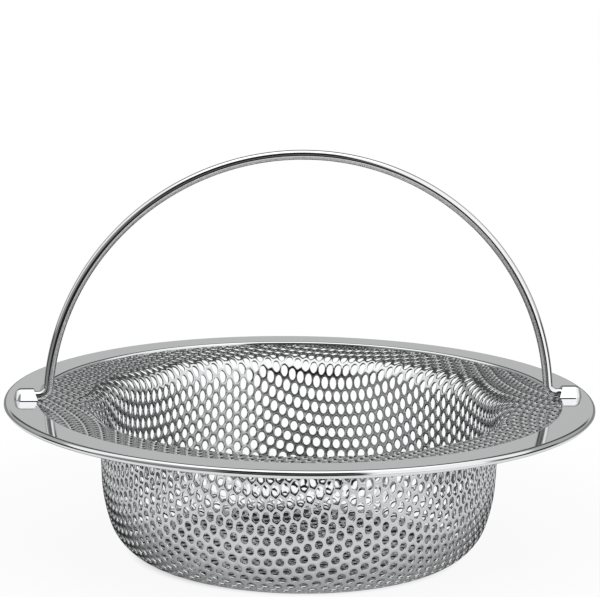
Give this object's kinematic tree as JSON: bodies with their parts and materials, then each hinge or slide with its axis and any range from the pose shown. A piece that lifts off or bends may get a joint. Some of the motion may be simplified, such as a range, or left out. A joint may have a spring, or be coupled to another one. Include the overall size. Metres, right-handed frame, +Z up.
{
  "type": "sink strainer",
  "caption": "Round sink strainer: a drawn perforated basket in a folded rim ring, with an arched wire bail handle that swings in two pockets of the ring.",
  "frame": {"origin": "centre of the bounding box at the bottom of the basket, on the basket's own axis", "axes": "+Z up out of the bowl, X along the bail's turning axis through the two pockets, with the bail upright at rest"},
  "size_m": [0.1142, 0.1142, 0.0803],
  "materials": {
    "basket_sheet": "bright drawn stainless sheet",
    "ring_sheet": "polished stainless sheet",
    "bail_wire": "bright polished stainless wire"
  },
  "bodies": {
    "basket": {"strainer_basket": "basket_sheet", "rim_ring": "ring_sheet"},
    "handle": {"bail_handle": "bail_wire"}
  },
  "joints": [
    {"name": "bail_hinge", "type": "hinge", "parent": "basket", "child": "handle", "pos_m": [0, 0, 0.03233], "axis": [1, 0, 0], "range_deg": [-90, 90]}
  ]
}
